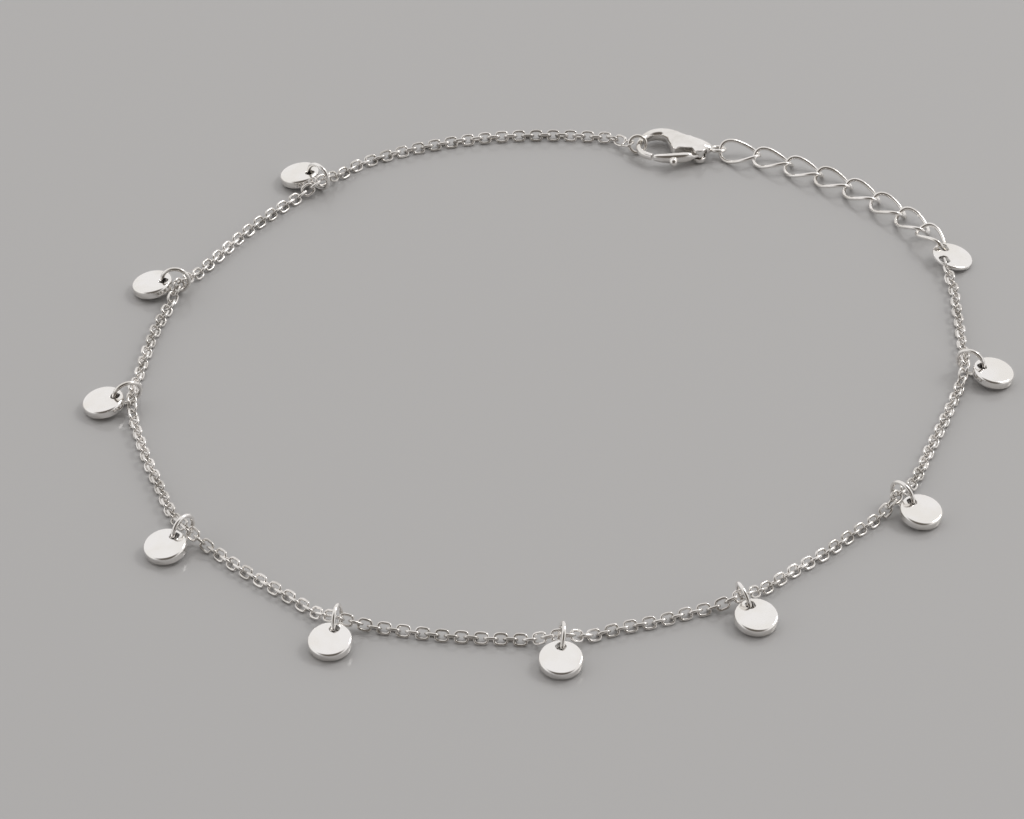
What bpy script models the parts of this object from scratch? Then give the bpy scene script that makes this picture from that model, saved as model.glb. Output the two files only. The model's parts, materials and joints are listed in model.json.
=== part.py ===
"""Charm anklet lying flat as a whole loop: fine chain, nine disc charms on rings,
lobster clasp with a sprung lever, an extender of large links and a tag disc."""
import math

import bmesh
import bpy
from mathutils import Matrix, Vector

MM = 0.001

# Gaps that pieces keep from the ground and from each other
GROUND_GAP = 0.03 * MM
PIECE_GAP = 0.05 * MM

# Fine chain and its end links
CHAIN_WIDTH = 0.96 * MM
CHAIN_SIDES = 8
CHAIN_SPACES = (12, 8, 7, 8, 7, 8, 7, 8, 8, 6)
LINK_LENGTH = 1.45 * MM
LINK_WIDTH = 1.32 * MM
LINK_WIRE = 0.25 * MM
LINK_STEPS = 14
LINK_SQUARENESS = 0.75
END_LINK_ROLLS = (math.radians(10.0), math.radians(86.0))
END_LINK_CLIMBS = (0.35, 0.12)

# Sides of round meshes
WIRE_SIDES = 6
RING_STEPS = 20
CURB_STEPS = 16
DISC_SIDES = 28
HOLE_SIDES = 16
CLASP_SIDES = 10
BARREL_SIDES = 14
ROUTE_STEPS = 24

# Charm rings, standing nearly upright
RING_OUTER = 3.3 * MM
RING_WIRE = 0.43 * MM
RING_CHAIN_PLAY = 0.2 * MM
RING_CHAIN_DROP = 0.23 * MM
RING_RISE_LENGTH = 3.6 * MM
RING_LEAN_HEIGHT = 1.1 * MM

# Charm discs
DISC_DIAMETER = 4.3 * MM
DISC_THICKNESS = 1.05 * MM
DISC_TOP_BEVEL = 0.12 * MM
DISC_BOTTOM_ROUND = 0.26 * MM
FOOT_SHARE = 0.3
DISC_HOLE = 1.0 * MM
DISC_HOLE_TO_EDGE = 0.84 * MM
DISC_HOLE_SHIFT = 0.145 * MM
DISC_RING_GAP = 0.11 * MM
TILT_SINE = 0.19

# End ring between chain and clasp
END_RING_OUTER = 2.25 * MM
END_RING_WIRE = 0.38 * MM
END_RING_TILT = math.radians(62.0)
END_RING_TURN = math.radians(-8.0)
END_RING_HOOK_PLAY = 0.22 * MM
END_RING_ASIDE = 0.56 * MM
END_RING_STEPS = 16

# Extender links
CURB_LENGTH = 4.8 * MM
CURB_WIDTH = 3.1 * MM
CURB_WIRE = 0.42 * MM
CURB_TWIST = math.radians(-42.0)
CURB_END_ROLLS = (math.radians(-15.0), math.radians(-20.0))
CURB_SLACK = 0.18 * MM
CURB_LINKS = 8
CURB_LOOK_AHEAD = 0.17

# Tag disc
TAG_DIAMETER = 4.4 * MM
TAG_THICKNESS = 0.44 * MM
TAG_BEVEL = 0.1 * MM
TAG_HOLE = 1.22 * MM
TAG_HOLE_TO_EDGE = 0.73 * MM
TAG_HOLE_ANGLE = math.radians(47.7)
TAG_TILT = math.radians(14.0)
TAG_TURN = math.radians(-1.0)

# Clasp, lying flat with its hook at its own zero and its eye along local X
CLASP_LENGTH = 10.0 * MM
CLASP_WIDTH = 5.2 * MM
CLASP_THICKNESS = 2.0 * MM
CLASP_PLACE = (13.6 * MM, 46.45 * MM)
CLASP_TURN = math.radians(-4.0)
EYE_OUTER = 2.04 * MM
EYE_WIRE = 0.46 * MM
EYE_ASIDE = 0.25 * MM
EYE_ROLL = math.radians(-18.0)
PIVOT_SHARE = (0.7, -0.144)
PIVOT_PIN = 0.42 * MM
PIVOT_CLEARANCE = 0.06 * MM
LUG_RADIUS = 0.72 * MM
LUG_HEIGHT = 1.7 * MM
LUG_RELIEF = 0.12 * MM
SLOT_FACET_TURN = 0.11
BOSS_FACET_TURN = 0.07
TONGUE_THICKNESS = 0.56 * MM
TONGUE_RADIUS = 0.5 * MM
LEVER_HEIGHT = 1.2 * MM
LEVER_CLEARANCE = 0.08 * MM
KNOB_RADIUS = 0.48 * MM
KNOB_SHARE = (0.425, -0.496)
CLASP_SQUARENESS = 0.8

# Clasp body stations from the tail to the hook tip: along as a share of the clasp length,
# across and half width as shares of the clasp width, half height as a share of the thickness
BODY_STATIONS = [
    (0.825, 0.038, 0.081, 0.2),
    (0.76, 0.058, 0.163, 0.35),
    (0.69, 0.062, 0.231, 0.46),
    (0.61, 0.067, 0.288, 0.5),
    (0.53, 0.125, 0.317, 0.5),
    (0.46, 0.26, 0.25, 0.46),
    (0.39, 0.423, 0.173, 0.4),
    (0.29, 0.519, 0.125, 0.35),
    (0.18, 0.49, 0.104, 0.31),
    (0.095, 0.356, 0.081, 0.26),
    (0.042, 0.154, 0.065, 0.21),
    (0.036, -0.058, 0.062, 0.19),
    (0.08, -0.231, 0.065, 0.2),
    (0.188, -0.349, 0.06, 0.195),
]

# Outline of the slot in the clasp body that the lever swings into, in the same shares
LEVER_SLOT = [
    (0.63, -0.115),
    (0.54, -0.119),
    (0.44, -0.119),
    (0.34, -0.087),
    (0.24, -0.038),
    (0.24, -0.615),
    (0.63, -0.615),
]

# Clasp lever stations from the pivot to the tip, the last column as a share of its height
LEVER_STATIONS = [
    (0.69, -0.183, 0.058, 0.217),
    (0.636, -0.246, 0.058, 0.217),
    (0.605, -0.273, 0.065, 0.417),
    (0.54, -0.315, 0.081, 0.5),
    (0.44, -0.354, 0.081, 0.5),
    (0.34, -0.373, 0.073, 0.45),
    (0.25, -0.369, 0.062, 0.367),
    (0.204, -0.362, 0.046, 0.267),
]

# Route of the fine chain over the ground in mm, from near the end ring round to the tag.
# Rows with more than two values pass through a charm ring: ring turn, disc turn and ring
# lean in degrees follow, turns as directions away from the chain.
CHAIN_ROUTE = [
    (11.7, 48.4),
    (9.9, 49.1),
    (5.9, 49.5),
    (2.2, 49.5),
    (-1.7, 49.2),
    (-5.4, 48.5),
    (-9.5, 47.3),
    (-13.6, 45.6),
    (-17.3, 43.3),
    (-20.6, 39.5, 139, 156, 0),
    (-22.9, 37.7),
    (-25.5, 34.8),
    (-28.3, 31.2),
    (-31.0, 26.9),
    (-33.2, 23.3),
    (-34.9, 20.4, 178, 169, 0),
    (-36.0, 17.2),
    (-37.2, 12.9),
    (-38.0, 8.1),
    (-38.5, 4.2),
    (-38.8, 0.9, -157, -170, -10),
    (-38.5, -2.2),
    (-37.7, -5.5),
    (-36.6, -9.4),
    (-35.2, -13.5),
    (-33.9, -17.4),
    (-32.0, -21.3, -129, -135, 0),
    (-29.4, -23.6),
    (-25.9, -27.1),
    (-22.0, -30.5),
    (-19.3, -33.0),
    (-16.6, -35.2, -103, -109, 5),
    (-13.6, -35.4),
    (-10.2, -36.1),
    (-6.3, -36.8),
    (-2.3, -37.2),
    (1.3, -37.4),
    (4.6, -37.8, -88, -90, -10),
    (7.6, -36.8),
    (10.9, -35.5),
    (14.3, -34.5),
    (18.0, -33.0),
    (22.3, -31.7, -68, -64, 13),
    (24.9, -29.3),
    (27.8, -26.6),
    (30.6, -24.2),
    (33.4, -21.3),
    (36.1, -18.7),
    (38.4, -15.9, -48, -43, 2),
    (40.4, -12.2),
    (42.2, -7.2),
    (43.6, -3.5),
    (44.9, 0.2),
    (45.9, 3.1),
    (46.7, 6.1, -27, -12, 0),
    (46.7, 9.6),
    (46.7, 13.7),
    (46.6, 17.8),
    (46.6, 20.0),
]

# Route of the extender over the ground in mm, from the clasp's eye to the tag
EXTENDER_ROUTE = [
    (25.2, 45.4),
    (28.4, 44.4),
    (31.6, 42.6),
    (34.6, 40.6),
    (37.7, 38.1),
    (40.6, 35.2),
    (43.2, 32.1),
    (45.1, 28.8),
    (46.4, 25.3),
]

SILVER = {
    "polished_silver": (0.86, 0.855, 0.84, 0.16),
    "disc_silver": (0.9, 0.895, 0.88, 0.1),
    "chain_silver": (0.82, 0.81, 0.79, 0.2),
}

RING_RADIUS = (RING_OUTER - RING_WIRE) / 2.0
RING_TO_CHAIN = RING_RADIUS - RING_WIRE / 2.0 - CHAIN_WIDTH / 2.0 - RING_CHAIN_PLAY
RING_CHAIN_HEIGHT = RING_OUTER / 2.0 - RING_CHAIN_DROP
RING_TO_DISC_HOLE = RING_RADIUS - DISC_HOLE_SHIFT
CHAIN_AXIS_HEIGHT = CHAIN_WIDTH / 2.0 + GROUND_GAP
DISC_HOLE_REACH = DISC_DIAMETER / 2.0 - DISC_HOLE_TO_EDGE
CURB_PITCH = CURB_LENGTH - 2.0 * CURB_WIRE - CURB_SLACK
EYE_CENTRE = (CLASP_LENGTH - EYE_OUTER / 2.0, EYE_ASIDE)
PIVOT = (PIVOT_SHARE[0] * CLASP_LENGTH, PIVOT_SHARE[1] * CLASP_WIDTH)
TAG_HOLE_IN = (TAG_DIAMETER / 2.0 - TAG_HOLE_TO_EDGE) * math.cos(TAG_HOLE_ANGLE)
TAG_HOLE_SIDE = (TAG_DIAMETER / 2.0 - TAG_HOLE_TO_EDGE) * math.sin(TAG_HOLE_ANGLE)


def disc_tilt():
    """Tilt that lifts the disc's hole side clear of the ring's lower strand."""
    edge = RING_TO_DISC_HOLE - DISC_THICKNESS * TILT_SINE - DISC_HOLE / 2.0
    strand = RING_OUTER / 2.0 - math.sqrt(RING_RADIUS ** 2 - edge ** 2)
    top = strand + RING_WIRE / 2.0 * RING_RADIUS / math.sqrt(RING_RADIUS ** 2 - edge ** 2)
    arm = DISC_DIAMETER / 2.0 - DISC_BOTTOM_ROUND + DISC_HOLE_REACH + DISC_HOLE / 2.0
    return math.asin((top + DISC_RING_GAP) / arm)


DISC_TILT = disc_tilt()


def clear_scene():
    for obj in list(bpy.data.objects):
        bpy.data.objects.remove(obj, do_unlink=True)


def silver(name):
    found = bpy.data.materials.get(name)
    if found:
        return found
    red, green, blue, rough = SILVER[name]
    mat = bpy.data.materials.new(name)
    mat.use_nodes = True
    shader = mat.node_tree.nodes["Principled BSDF"]
    shader.inputs["Base Color"].default_value = (red, green, blue, 1.0)
    shader.inputs["Metallic"].default_value = 1.0
    shader.inputs["Roughness"].default_value = rough
    return mat


def add_piece(name, mesh, material, smooth=True):
    for poly in mesh.polygons:
        poly.use_smooth = smooth
    mesh.materials.append(silver(material))
    obj = bpy.data.objects.new(name, mesh)
    bpy.context.scene.collection.objects.link(obj)
    return obj


def finish_mesh(name, bm):
    bmesh.ops.recalc_face_normals(bm, faces=bm.faces)
    mesh = bpy.data.meshes.new(name)
    bm.to_mesh(mesh)
    bm.free()
    return mesh


def loop_mesh(name, points, wire, sides):
    """Closed loop of round wire through the points; the loop's middle is the local zero."""
    bm = bmesh.new()
    count = len(points)
    rings = []
    for i in range(count):
        here = points[i]
        along = (points[(i + 1) % count] - points[i - 1]).normalized()
        out = here - along * here.dot(along)
        out.normalize()
        side = along.cross(out)
        ring = []
        for k in range(sides):
            angle = 2.0 * math.pi * (k + 0.5) / sides
            offset = out * math.cos(angle) + side * math.sin(angle)
            ring.append(bm.verts.new(here + offset * wire / 2.0))
        rings.append(ring)
    for i in range(count):
        near = rings[i]
        far = rings[(i + 1) % count]
        for k in range(sides):
            nxt = (k + 1) % sides
            bm.faces.new((near[k], near[nxt], far[nxt], far[k]))
    return finish_mesh(name, bm)


def circle_points(outer, wire, count):
    radius = (outer - wire) / 2.0
    points = []
    for i in range(count):
        angle = 2.0 * math.pi * i / count
        points.append(Vector((radius * math.cos(angle), radius * math.sin(angle), 0.0)))
    return points


def oval_points(length, width, wire, count, twist=0.0):
    """Oval loop along local X whose two ends are rolled by the twist to either side."""
    half_long = (length - wire) / 2.0
    half_wide = (width - wire) / 2.0
    points = []
    for i in range(count):
        angle = 2.0 * math.pi * (i + 0.5) / count
        x = math.copysign(abs(math.cos(angle)) ** LINK_SQUARENESS, math.cos(angle))
        y = math.copysign(abs(math.sin(angle)) ** LINK_SQUARENESS, math.sin(angle))
        roll = twist * x
        flat = y * half_wide
        points.append(Vector((x * half_long, flat * math.cos(roll), flat * math.sin(roll))))
    return points


def lathe_disc(name, diameter, thickness, top_bevel, bottom_round, sides):
    """Solid disc on local zero height with a small top bevel and a rounder foot."""
    radius = diameter / 2.0
    profile = [
        (radius - bottom_round, 0.0),
        (radius - bottom_round * FOOT_SHARE, bottom_round * FOOT_SHARE),
        (radius, bottom_round),
        (radius, thickness - top_bevel),
        (radius - top_bevel, thickness),
    ]
    bm = bmesh.new()
    rings = []
    for r, z in profile:
        ring = []
        for k in range(sides):
            angle = 2.0 * math.pi * k / sides
            ring.append(bm.verts.new((r * math.cos(angle), r * math.sin(angle), z)))
        rings.append(ring)
    for low, high in zip(rings, rings[1:]):
        for k in range(sides):
            nxt = (k + 1) % sides
            bm.faces.new((low[k], low[nxt], high[nxt], high[k]))
    bm.faces.new(tuple(reversed(rings[0])))
    bm.faces.new(tuple(rings[-1]))
    return finish_mesh(name, bm)


def cylinder_mesh(name, radius, height, sides, turn=0.0):
    bm = bmesh.new()
    low = []
    high = []
    for k in range(sides):
        angle = 2.0 * math.pi * k / sides + turn
        x = radius * math.cos(angle)
        y = radius * math.sin(angle)
        low.append(bm.verts.new((x, y, -height / 2.0)))
        high.append(bm.verts.new((x, y, height / 2.0)))
    for k in range(sides):
        nxt = (k + 1) % sides
        bm.faces.new((low[k], low[nxt], high[nxt], high[k]))
    bm.faces.new(tuple(reversed(low)))
    bm.faces.new(tuple(high))
    return finish_mesh(name, bm)


def prism_mesh(name, outline, height):
    bm = bmesh.new()
    spots = [(along * CLASP_LENGTH, across * CLASP_WIDTH) for along, across in outline]
    low = [bm.verts.new((x, y, -height / 2.0)) for x, y in spots]
    high = [bm.verts.new((x, y, height / 2.0)) for x, y in spots]
    count = len(outline)
    for k in range(count):
        nxt = (k + 1) % count
        bm.faces.new((low[k], low[nxt], high[nxt], high[k]))
    bm.faces.new(tuple(reversed(low)))
    bm.faces.new(tuple(high))
    return finish_mesh(name, bm)


def helper_object(name, mesh, place):
    obj = bpy.data.objects.new(name, mesh)
    bpy.context.scene.collection.objects.link(obj)
    obj.matrix_world = place
    obj.hide_render = True
    obj.display_type = "WIRE"
    return obj


def join_or_cut(obj, helper, operation):
    mod = obj.modifiers.new(helper.name, "BOOLEAN")
    mod.operation = operation
    mod.solver = "EXACT"
    mod.use_self = True
    mod.object = helper
    return mod


def smooth_route(rows):
    """Points along a smooth open curve through the rows, with the length at every row."""
    knots = [Vector((row[0] * MM, row[1] * MM, 0.0)) for row in rows]
    knots = [2.0 * knots[0] - knots[1]] + knots + [2.0 * knots[-1] - knots[-2]]
    fine = [knots[1].copy()]
    at_row = [0]
    for i in range(1, len(knots) - 2):
        before, start, end, after = knots[i - 1:i + 3]
        for step in range(1, ROUTE_STEPS + 1):
            t = step / ROUTE_STEPS
            a = 2.0 * start
            b = end - before
            c = 2.0 * before - 5.0 * start + 4.0 * end - after
            d = 3.0 * start - before - 3.0 * end + after
            fine.append((a + b * t + c * t * t + d * t * t * t) / 2.0)
        at_row.append(len(fine) - 1)
    lengths = [0.0]
    for near, far in zip(fine, fine[1:]):
        lengths.append(lengths[-1] + (far - near).length)
    return fine, lengths, [lengths[i] for i in at_row]


def point_at(fine, lengths, distance):
    distance = min(max(distance, 0.0), lengths[-1])
    low = 0
    high = len(lengths) - 1
    while high - low > 1:
        middle = (low + high) // 2
        if lengths[middle] <= distance:
            low = middle
        else:
            high = middle
    share = (distance - lengths[low]) / max(lengths[high] - lengths[low], 1e-12)
    return fine[low].lerp(fine[high], share)


def chain_height(distance, high_spots):
    """The chain lies on the ground and climbs to each spot that carries it higher."""
    height = CHAIN_AXIS_HEIGHT
    for place, top in high_spots:
        share = abs(distance - place) / RING_RISE_LENGTH
        if share < 1.0:
            rise = 0.5 + 0.5 * math.cos(math.pi * share)
            height = max(height, CHAIN_AXIS_HEIGHT + rise * (top - CHAIN_AXIS_HEIGHT))
    return height


def direction(degrees):
    angle = math.radians(degrees)
    return Vector((math.cos(angle), math.sin(angle), 0.0))


def frame_matrix(x_axis, z_axis, origin):
    x = x_axis.normalized()
    y = z_axis.cross(x).normalized()
    z = x.cross(y)
    matrix = Matrix((x, y, z)).transposed().to_4x4()
    matrix.translation = origin
    return matrix


def end_anchors(tag_place):
    """Where the end links hook on: a strand of the end ring and the tag's second hole."""
    radius = (END_RING_OUTER - END_RING_WIRE) / 2.0
    ring_spot = end_ring_matrix() @ Vector((-radius, 0.0, 0.0))
    hole_spot = tag_place @ Vector((-TAG_HOLE_IN, -TAG_HOLE_SIDE, TAG_THICKNESS / 2.0))
    past_ring = LINK_WIRE + END_RING_WIRE / 2.0 + PIECE_GAP
    return (ring_spot, past_ring), (hole_spot, LINK_WIRE / 2.0 + PIECE_GAP)


def end_link_axis(anchor, next_row, climb):
    """Direction of an end link, climbing from the chain to its anchor."""
    toward = Vector((anchor.x - next_row[0] * MM, anchor.y - next_row[1] * MM, 0.0))
    toward.normalize()
    return toward * math.sqrt(1.0 - climb * climb) + Vector((0.0, 0.0, climb))


def build_chain(fine, lengths, ring_lengths, end_heights):
    start = LINK_LENGTH + PIECE_GAP
    stop = lengths[-1] - start
    marks = [start] + ring_lengths + [stop]
    high_spots = [(start, end_heights[0]), (stop, end_heights[1])]
    high_spots += [(place, RING_CHAIN_HEIGHT) for place in ring_lengths]
    places = [start]
    for near, far, share in zip(marks, marks[1:], CHAIN_SPACES):
        for step in range(1, share + 1):
            places.append(near + (far - near) * step / share)
    curve = bpy.data.curves.new("fine_chain", "CURVE")
    curve.dimensions = "3D"
    curve.bevel_depth = CHAIN_WIDTH / 2.0
    curve.bevel_resolution = (CHAIN_SIDES - 4) // 2
    curve.use_fill_caps = True
    spline = curve.splines.new("POLY")
    spline.points.add(len(places) - 1)
    for item, place in zip(spline.points, places):
        spot = point_at(fine, lengths, place)
        item.co = (spot.x, spot.y, chain_height(place, high_spots), 1.0)
    spline.use_smooth = True
    curve.materials.append(silver("chain_silver"))
    obj = bpy.data.objects.new("fine_chain", curve)
    bpy.context.scene.collection.objects.link(obj)
    return obj


def build_end_link(name, anchor, beyond, axis, roll):
    up = Matrix.Rotation(roll, 3, axis) @ Vector((0.0, 0.0, 1.0))
    shape = oval_points(LINK_LENGTH, LINK_WIDTH, LINK_WIRE, LINK_STEPS)
    obj = add_piece(name, loop_mesh(name, shape, LINK_WIRE, WIRE_SIDES), "chain_silver")
    obj.matrix_world = frame_matrix(axis, up, anchor + axis * (beyond - LINK_LENGTH / 2.0))
    return obj


def build_charm(number, row):
    chain_spot = Vector((row[0] * MM, row[1] * MM, 0.0))
    ring_way = direction(row[2])
    disc_way = direction(row[3])
    lean = math.radians(row[4])
    centre = chain_spot + ring_way * RING_TO_CHAIN
    centre.z = RING_OUTER / 2.0
    side = Vector((0.0, 0.0, 1.0)).cross(ring_way)
    shape = circle_points(RING_OUTER, RING_WIRE, RING_STEPS)
    ring_mesh = loop_mesh("charm_ring", shape, RING_WIRE, WIRE_SIDES)
    ring = add_piece("charm_ring_%d" % number, ring_mesh, "polished_silver")
    upright = frame_matrix(ring_way, side, centre)
    pivot = Vector((centre.x, centre.y, RING_LEAN_HEIGHT))
    swing = Matrix.Translation(pivot) @ Matrix.Rotation(lean, 4, ring_way)
    ring.matrix_world = swing @ Matrix.Translation(-pivot) @ upright

    disc_mesh = lathe_disc("charm_disc", DISC_DIAMETER, DISC_THICKNESS, DISC_TOP_BEVEL,
                           DISC_BOTTOM_ROUND, DISC_SIDES)
    disc = add_piece("charm_disc_%d" % number, disc_mesh, "disc_silver")
    hole_top = centre + ring_way * RING_TO_DISC_HOLE
    reach = DISC_HOLE_REACH * math.cos(DISC_TILT) - DISC_THICKNESS * math.sin(DISC_TILT)
    spot = Vector((hole_top.x, hole_top.y, 0.0)) + disc_way * reach
    spot.z = (DISC_DIAMETER / 2.0 - DISC_BOTTOM_ROUND) * math.sin(DISC_TILT)
    tilt = Matrix.Rotation(-DISC_TILT, 3, "Y")
    turn = Matrix.Rotation(math.radians(row[3]) + math.pi, 3, "Z")
    disc.matrix_world = Matrix.Translation(spot) @ (turn @ tilt).to_4x4()
    cutter_mesh = cylinder_mesh("disc_hole", DISC_HOLE / 2.0, DISC_THICKNESS * 3.0, HOLE_SIDES)
    at_hole = disc.matrix_world @ Matrix.Translation((DISC_HOLE_REACH, 0.0, 0.0))
    cutter = helper_object("cut_disc_%d" % number, cutter_mesh, at_hole)
    join_or_cut(disc, cutter, "DIFFERENCE")
    return ring, disc


def end_ring_matrix():
    """The ring hangs on the hook's bend, its far strand inside the hook."""
    bend = min(BODY_STATIONS)
    inner_edge = bend[0] * CLASP_LENGTH + bend[2] * CLASP_WIDTH
    radius = (END_RING_OUTER - END_RING_WIRE) / 2.0
    along = inner_edge + END_RING_HOOK_PLAY + END_RING_WIRE / 2.0 - radius
    spot = clasp_matrix() @ Vector((along, END_RING_ASIDE, 0.0))
    spot.z = radius * math.sin(END_RING_TILT) + END_RING_WIRE / 2.0 + GROUND_GAP
    turn = Matrix.Rotation(END_RING_TURN, 4, "Z") @ Matrix.Rotation(END_RING_TILT, 4, "X")
    return Matrix.Translation(spot) @ turn


def build_end_ring():
    shape = circle_points(END_RING_OUTER, END_RING_WIRE, END_RING_STEPS)
    obj = add_piece("end_ring", loop_mesh("end_ring", shape, END_RING_WIRE, WIRE_SIDES),
                    "polished_silver")
    obj.matrix_world = end_ring_matrix()
    return obj


def clasp_matrix():
    seat = Vector((CLASP_PLACE[0], CLASP_PLACE[1], CLASP_THICKNESS / 2.0 + GROUND_GAP))
    return Matrix.Translation(seat) @ Matrix.Rotation(CLASP_TURN, 4, "Z")


def extender_places():
    """Middle, direction and roll of each extender link, from the clasp's eye to the tag."""
    eye = clasp_matrix() @ Vector((EYE_CENTRE[0], EYE_CENTRE[1], 0.0))
    rows = [(eye.x / MM, eye.y / MM)] + EXTENDER_ROUTE
    fine, lengths, _ = smooth_route(rows)
    eye_play = (EYE_OUTER - CURB_WIRE) / 2.0 - EYE_WIRE - PIECE_GAP
    first = (CURB_LENGTH - CURB_WIRE) / 2.0 + eye_play
    places = []
    for i in range(CURB_LINKS):
        place = first + CURB_PITCH * i
        spot = point_at(fine, lengths, place)
        ahead = point_at(fine, lengths, place + CURB_LENGTH * CURB_LOOK_AHEAD)
        back = point_at(fine, lengths, place - CURB_LENGTH * CURB_LOOK_AHEAD)
        roll = 0.0
        if i == 0:
            roll = -CURB_END_ROLLS[0]
        if i == CURB_LINKS - 1:
            roll = CURB_END_ROLLS[1]
        places.append((spot, (ahead - back).normalized(), roll))
    return places


def build_extender(places):
    shape = oval_points(CURB_LENGTH, CURB_WIDTH, CURB_WIRE, CURB_STEPS, CURB_TWIST)
    links = []
    for i, (spot, along, roll) in enumerate(places):
        mesh = loop_mesh("extender_link", shape, CURB_WIRE, WIRE_SIDES)
        link = add_piece("extender_link_%d" % (i + 1), mesh, "polished_silver")
        up = Matrix.Rotation(roll, 3, along) @ Vector((0.0, 0.0, 1.0))
        lowest = min((Matrix.Rotation(roll, 3, "X") @ p).z for p in shape)
        height = CURB_WIRE / 2.0 - lowest
        link.matrix_world = frame_matrix(along, up, Vector((spot.x, spot.y, height)))
        links.append(link)
    return links


def tag_matrix(places):
    """The tag's first hole takes the tip of the last extender link."""
    spot, along, _ = places[-1]
    hole_spot = spot + along * (CURB_LENGTH - CURB_WIRE) / 2.0
    tilt = Matrix.Rotation(TAG_TILT, 3, "Y")
    turn = Matrix.Rotation(TAG_TURN, 3, "Z")
    rotation = turn @ tilt
    hole_local = Vector((-TAG_HOLE_IN, TAG_HOLE_SIDE, TAG_THICKNESS / 2.0))
    offset = rotation @ hole_local
    foot = (TAG_DIAMETER / 2.0 - TAG_BEVEL) * math.sin(TAG_TILT)
    seat = Vector((hole_spot.x - offset.x, hole_spot.y - offset.y, foot))
    return Matrix.Translation(seat) @ rotation.to_4x4()


def build_tag(matrix):
    mesh = lathe_disc("tag_disc", TAG_DIAMETER, TAG_THICKNESS, TAG_BEVEL, TAG_BEVEL, DISC_SIDES)
    tag = add_piece("tag_disc", mesh, "disc_silver")
    tag.matrix_world = matrix
    for number, side in ((1, 1.0), (2, -1.0)):
        cutter_mesh = cylinder_mesh("tag_hole", TAG_HOLE / 2.0, TAG_THICKNESS * 4.0, HOLE_SIDES)
        local = Matrix.Translation((-TAG_HOLE_IN, side * TAG_HOLE_SIDE, 0.0))
        cutter = helper_object("cut_tag_%d" % number, cutter_mesh, matrix @ local)
        join_or_cut(tag, cutter, "DIFFERENCE")
    return tag


def station_sweep(name, stations, height, sides):
    """Solid through flat oval stations along a route in the clasp's own plane."""
    bm = bmesh.new()
    knots = [Vector((row[0] * CLASP_LENGTH, row[1] * CLASP_WIDTH, 0.0)) for row in stations]
    rings = []
    for i, row in enumerate(stations):
        ahead = knots[min(i + 1, len(knots) - 1)]
        back = knots[max(i - 1, 0)]
        along = (ahead - back).normalized()
        side = Vector((-along.y, along.x, 0.0))
        ring = []
        for k in range(sides):
            angle = 2.0 * math.pi * (k + 0.5) / sides
            wide = math.copysign(abs(math.cos(angle)) ** CLASP_SQUARENESS, math.cos(angle))
            high = math.copysign(abs(math.sin(angle)) ** CLASP_SQUARENESS, math.sin(angle))
            spot = knots[i] + side * wide * row[2] * CLASP_WIDTH
            spot.z = high * row[3] * height
            ring.append(bm.verts.new(spot))
        rings.append(ring)
    for near, far in zip(rings, rings[1:]):
        for k in range(sides):
            nxt = (k + 1) % sides
            bm.faces.new((near[k], near[nxt], far[nxt], far[k]))
    bm.faces.new(tuple(reversed(rings[0])))
    bm.faces.new(tuple(rings[-1]))
    return finish_mesh(name, bm)


def ball_mesh(name, radius):
    bm = bmesh.new()
    bmesh.ops.create_uvsphere(bm, u_segments=10, v_segments=6, radius=radius)
    return finish_mesh(name, bm)


def build_clasp():
    base = clasp_matrix()
    body_mesh = station_sweep("clasp_body", BODY_STATIONS, CLASP_THICKNESS, CLASP_SIDES)
    body = add_piece("clasp_body", body_mesh, "polished_silver")
    body.matrix_world = base
    eye_shape = circle_points(EYE_OUTER, EYE_WIRE, HOLE_SIDES)
    eye_place = base @ Matrix.Translation((EYE_CENTRE[0], EYE_CENTRE[1], 0.0))
    eye_place = eye_place @ Matrix.Rotation(EYE_ROLL, 4, "X")
    eye = helper_object("add_eye", loop_mesh("eye", eye_shape, EYE_WIRE, 8), eye_place)
    join_or_cut(body, eye, "UNION")
    at_pivot = base @ Matrix.Translation((PIVOT[0], PIVOT[1], 0.0))
    lug_mesh = cylinder_mesh("lug", LUG_RADIUS, LUG_HEIGHT, BARREL_SIDES)
    join_or_cut(body, helper_object("add_lug", lug_mesh, at_pivot), "UNION")
    slot_height = TONGUE_THICKNESS + 2.0 * PIVOT_CLEARANCE
    slot_mesh = cylinder_mesh("slot", LUG_RADIUS + LUG_RELIEF, slot_height, BARREL_SIDES,
                              SLOT_FACET_TURN)
    join_or_cut(body, helper_object("cut_slot", slot_mesh, at_pivot), "DIFFERENCE")
    lever_room = LEVER_HEIGHT + 2.0 * LEVER_CLEARANCE
    room_mesh = prism_mesh("lever_room", LEVER_SLOT, lever_room)
    join_or_cut(body, helper_object("cut_lever", room_mesh, base), "DIFFERENCE")
    pin_height = (LUG_HEIGHT + slot_height) / 2.0
    pin_mesh = cylinder_mesh("pin", PIVOT_PIN / 2.0, pin_height, CLASP_SIDES)
    join_or_cut(body, helper_object("add_pin", pin_mesh, at_pivot), "UNION")

    lever_mesh = station_sweep("clasp_lever", LEVER_STATIONS, LEVER_HEIGHT, CLASP_SIDES)
    lever_mesh.transform(Matrix.Translation((-PIVOT[0], -PIVOT[1], 0.0)))
    lever = add_piece("clasp_lever", lever_mesh, "polished_silver")
    lever.matrix_world = at_pivot
    boss_mesh = cylinder_mesh("boss", TONGUE_RADIUS, TONGUE_THICKNESS, BARREL_SIDES,
                              BOSS_FACET_TURN)
    join_or_cut(lever, helper_object("add_boss", boss_mesh, at_pivot), "UNION")
    knob_spot = (KNOB_SHARE[0] * CLASP_LENGTH, KNOB_SHARE[1] * CLASP_WIDTH, 0.0)
    knob_place = base @ Matrix.Translation(knob_spot)
    join_or_cut(lever, helper_object("add_knob", ball_mesh("knob", KNOB_RADIUS), knob_place),
                "UNION")
    bore_radius = PIVOT_PIN / 2.0 + PIVOT_CLEARANCE
    bore_mesh = cylinder_mesh("bore", bore_radius, 2.0 * LEVER_HEIGHT, CLASP_SIDES)
    join_or_cut(lever, helper_object("cut_bore", bore_mesh, at_pivot), "DIFFERENCE")
    return body, lever


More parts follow.
